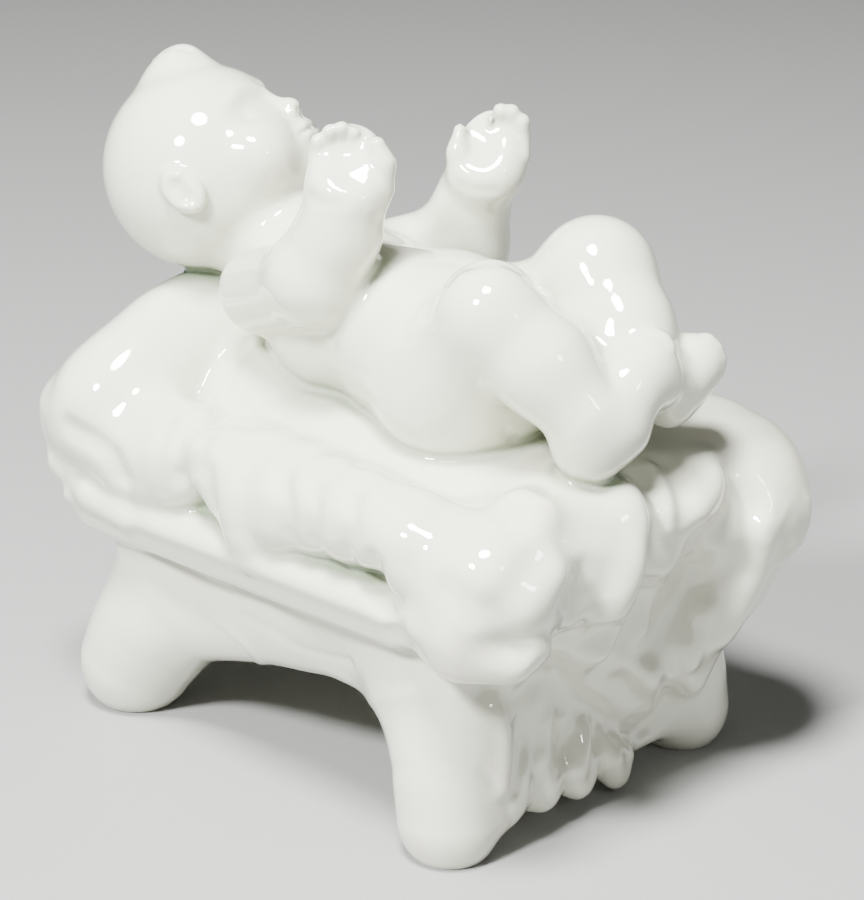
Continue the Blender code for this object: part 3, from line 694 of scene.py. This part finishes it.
def flattenFeet(mesh):
    bm = bmesh.new()
    bm.from_mesh(mesh)
    everything = bm.verts[:] + bm.edges[:] + bm.faces[:]
    cut = bmesh.ops.bisect_plane(bm, geom=everything, dist=1e-4, plane_co=(0, 0, 0), plane_no=(0, 0, -1),
                                 clear_outer=True)
    rims = [item for item in cut["geom_cut"] if isinstance(item, bmesh.types.BMEdge)]
    bmesh.ops.holes_fill(bm, edges=rims, sides=0)
    bmesh.ops.triangulate(bm, faces=bm.faces[:])
    bmesh.ops.recalc_face_normals(bm, faces=bm.faces[:])
    bm.to_mesh(mesh)
    bm.free()


def sculptFigurine():
    bed = mangerMasses() + strawMasses()
    strokes = strawStrokes(bed)
    child = infantMasses()
    bodyStrokes = infantStrokes(pressed(child))
    bm = bmesh.new()
    for mass in bed + child:
        mass.lump(bm)
    mesh = bpy.data.meshes.new("infant_casting")
    bm.to_mesh(mesh)
    bm.free()
    body = bpy.data.objects.new("infant_casting", mesh)
    bpy.context.collection.objects.link(body)
    surface = luted(pressed(bed, strokes), pressed(child, bodyStrokes), blends["glazeFillet"])
    remeshed(body, skin["roughVoxel"])
    settle(body.data, surface, skin["roughMoves"], skin["roughVoxel"])
    print("rough skin settled:", len(body.data.vertices), "corners")
    remeshed(body, skin["fineVoxel"])
    settle(body.data, surface, skin["fineMoves"], skin["fineVoxel"])
    print("fine skin settled:", len(body.data.vertices), "corners")
    thin = body.modifiers.new("Facets", "DECIMATE")
    thin.ratio = min(1, skin["triangles"] / sum(len(face.vertices) - 2 for face in body.data.polygons))
    applyModifiers(body)
    settle(body.data, surface, 1, skin["fineVoxel"], 0)
    flattenFeet(body.data)
    return body, surface


def glazeAndShadeDepth(mesh, surface):
    # how deep each place lies in a hollow, where the glaze runs together and where its darker colour also paints
    # shade
    corners = cornersOf(mesh)
    slope = probed(surface, corners)[1]
    slope /= np.maximum(np.linalg.norm(slope, axis=1), field["leastSlope"])[:, None]
    depth = np.zeros(len(corners))
    reaches = (1.0, 2.0, 3.8)
    for reach in reaches:
        depth += np.clip(1 - surface(corners + slope * reach) / reach, 0, 1) / len(reaches)
    layer = mesh.attributes.new("glazeAndShadeDepth", "FLOAT", "POINT")
    layer.data.foreach_set("value", depth)


# Glaze
glaze = {
    # the hollow colour is the tint of glaze pooled in the hollows, and, being much darker than the body, also
    # painted shade there
    "body": (0.67, 0.68, 0.57), "hollowTintAndShade": (0.30, 0.36, 0.25), "shallow": 0.20, "deep": 0.90,
    "cloudScale": 60, "cloudDetail": 4, "cloudShare": 0.06, "rippleScale": 220, "rippleDetail": 2,
    "rippleStrength": 0.03, "rippleHeight": 0.0005, "roughness": 0.07, "coat": 0.6, "coatRoughness": 0.04,
    "scatter": 0.04, "scatterDepth": 0.001,
}


def node(tree, kind, **settings):
    made = tree.nodes.new(kind)
    for name, value in settings.items():
        setattr(made, name, value)
    return made


def glazedPorcelain():
    material = bpy.data.materials.new("white_glazed_porcelain")
    material.use_nodes = True
    tree = material.node_tree
    link = tree.links.new
    shader = tree.nodes["Principled BSDF"]
    place = node(tree, "ShaderNodeTexCoord")
    cloud = node(tree, "ShaderNodeTexNoise")
    cloud.inputs["Scale"].default_value = glaze["cloudScale"]
    cloud.inputs["Detail"].default_value = glaze["cloudDetail"]
    link(place.outputs["Object"], cloud.inputs["Vector"])
    depth = node(tree, "ShaderNodeAttribute", attribute_name="glazeAndShadeDepth")
    deepen = node(tree, "ShaderNodeMapRange", interpolation_type="SMOOTHSTEP")
    deepen.inputs["From Min"].default_value = glaze["shallow"]
    deepen.inputs["From Max"].default_value = glaze["deep"]
    link(depth.outputs["Fac"], deepen.inputs["Value"])
    # hollows go towards the darker colour: a pooled glaze tint and painted shade
    mix = node(tree, "ShaderNodeMix", data_type="RGBA")
    mix.inputs["A"].default_value = (*glaze["body"], 1)
    mix.inputs["B"].default_value = (*glaze["hollowTintAndShade"], 1)
    link(deepen.outputs["Result"], mix.inputs["Factor"])
    tint = node(tree, "ShaderNodeMix", data_type="RGBA", blend_type="MULTIPLY")
    tint.inputs["Factor"].default_value = glaze["cloudShare"]
    link(mix.outputs["Result"], tint.inputs["A"])
    link(cloud.outputs["Color"], tint.inputs["B"])
    link(tint.outputs["Result"], shader.inputs["Base Color"])
    ripple = node(tree, "ShaderNodeTexNoise")
    ripple.inputs["Scale"].default_value = glaze["rippleScale"]
    ripple.inputs["Detail"].default_value = glaze["rippleDetail"]
    link(place.outputs["Object"], ripple.inputs["Vector"])
    bump = node(tree, "ShaderNodeBump")
    bump.inputs["Strength"].default_value = glaze["rippleStrength"]
    bump.inputs["Distance"].default_value = glaze["rippleHeight"]
    link(ripple.outputs["Fac"], bump.inputs["Height"])
    link(bump.outputs["Normal"], shader.inputs["Normal"])
    shader.inputs["Roughness"].default_value = glaze["roughness"]
    shader.inputs["Coat Weight"].default_value = glaze["coat"]
    shader.inputs["Coat Roughness"].default_value = glaze["coatRoughness"]
    shader.inputs["Subsurface Weight"].default_value = glaze["scatter"]
    shader.inputs["Subsurface Scale"].default_value = glaze["scatterDepth"]
    return material


body, surface = sculptFigurine()
glazeAndShadeDepth(body.data, surface)
corners = cornersOf(body.data)
lowest, highest = corners.min(axis=0), corners.max(axis=0)
sculptMiddle = (lowest + highest) / 2
cadMiddle = (cadLow + cadHigh) / 2
mmToFrame = 0.001
shift = Vector((cadMiddle.x - sculptMiddle[0] * mmToFrame, cadMiddle.y - sculptMiddle[1] * mmToFrame, cadLow.z))
body.data.transform(Matrix.Translation(shift) @ Matrix.Scale(mmToFrame, 4))
body.data.materials.append(glazedPorcelain())
body.data.shade_smooth()
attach(body, "root")
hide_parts("infant_on_manger")
print("casting finished:", len(body.data.polygons), "triangles")

# Floor, light and camera
studio = {
    "floor": (0.30, 0.30, 0.295), "floorSize": 6.0, "world": (0.93, 0.95, 0.94), "worldStrength": 0.08,
    "lamps": {  # azimuth and elevation in degrees, distance and size in metres, watts
        "ceilingLamp": (26, 70, 0.75, 0.20, 22.0),
        "nearLamp": (8, 42, 0.70, 0.12, 15.0),
        "sideLamp": (84, 30, 0.75, 0.10, 0.9),
    },
}


def aimed(thing, target):
    thing.rotation_euler = (thing.location - target).to_track_quat("Z", "Y").to_euler()


def makeStudio():
    half = studio["floorSize"] / 2
    plane = bpy.data.meshes.new("studio_floor")
    plane.from_pydata([(-half, -half, 0), (half, -half, 0), (half, half, 0), (-half, half, 0)], [], [(0, 1, 2, 3)])
    floor = bpy.data.objects.new("studio_floor", plane)
    floor.location = (0, 0, cadLow.z)
    bpy.context.collection.objects.link(floor)
    paint = bpy.data.materials.new("pale_paper")
    paint.use_nodes = True
    paint.node_tree.nodes["Principled BSDF"].inputs["Base Color"].default_value = (*studio["floor"], 1)
    paint.node_tree.nodes["Principled BSDF"].inputs["Roughness"].default_value = 0.6
    plane.materials.append(paint)
    world = bpy.data.worlds.new("soft_room")
    world.use_nodes = True
    world.node_tree.nodes["Background"].inputs["Color"].default_value = (*studio["world"], 1)
    world.node_tree.nodes["Background"].inputs["Strength"].default_value = studio["worldStrength"]
    bpy.context.scene.world = world
    middle = Vector((0, 0, cadLow.z + 0.06))
    for name, (azimuth, elevation, distance, size, watts) in studio["lamps"].items():
        a, e = math.radians(azimuth), math.radians(elevation)
        lamp = bpy.data.lights.new(name, "AREA")
        lamp.shape = "DISK"
        lamp.size = size
        lamp.energy = watts
        holder = bpy.data.objects.new(name, lamp)
        direction = Vector((math.sin(a) * math.cos(e), -math.cos(a) * math.cos(e), math.sin(e)))
        holder.location = middle + direction * distance
        aimed(holder, middle)
        bpy.context.collection.objects.link(holder)


def makeCamera():
    back, right, up = viewAxes()
    lens = bpy.data.cameras.new("photo_camera")
    holder = bpy.data.objects.new("photo_camera", lens)
    holder.location = shift + (Vector(photoView["aim"]) + back * photoView["distance"]) * mmToFrame
    holder.rotation_euler = back.to_track_quat("Z", "Y").to_euler()
    longSide = max(photoView["frame"])
    lens.sensor_width = 36
    lens.lens = photoView["pixelsPerMm"] * photoView["distance"] / longSide * lens.sensor_width
    lens.shift_x = -photoView["slide"][0] / longSide
    lens.shift_y = photoView["slide"][1] / longSide
    lens.clip_start = 0.01
    bpy.context.collection.objects.link(holder)
    bpy.context.scene.camera = holder


makeStudio()
makeCamera()
print("studio and camera ready")
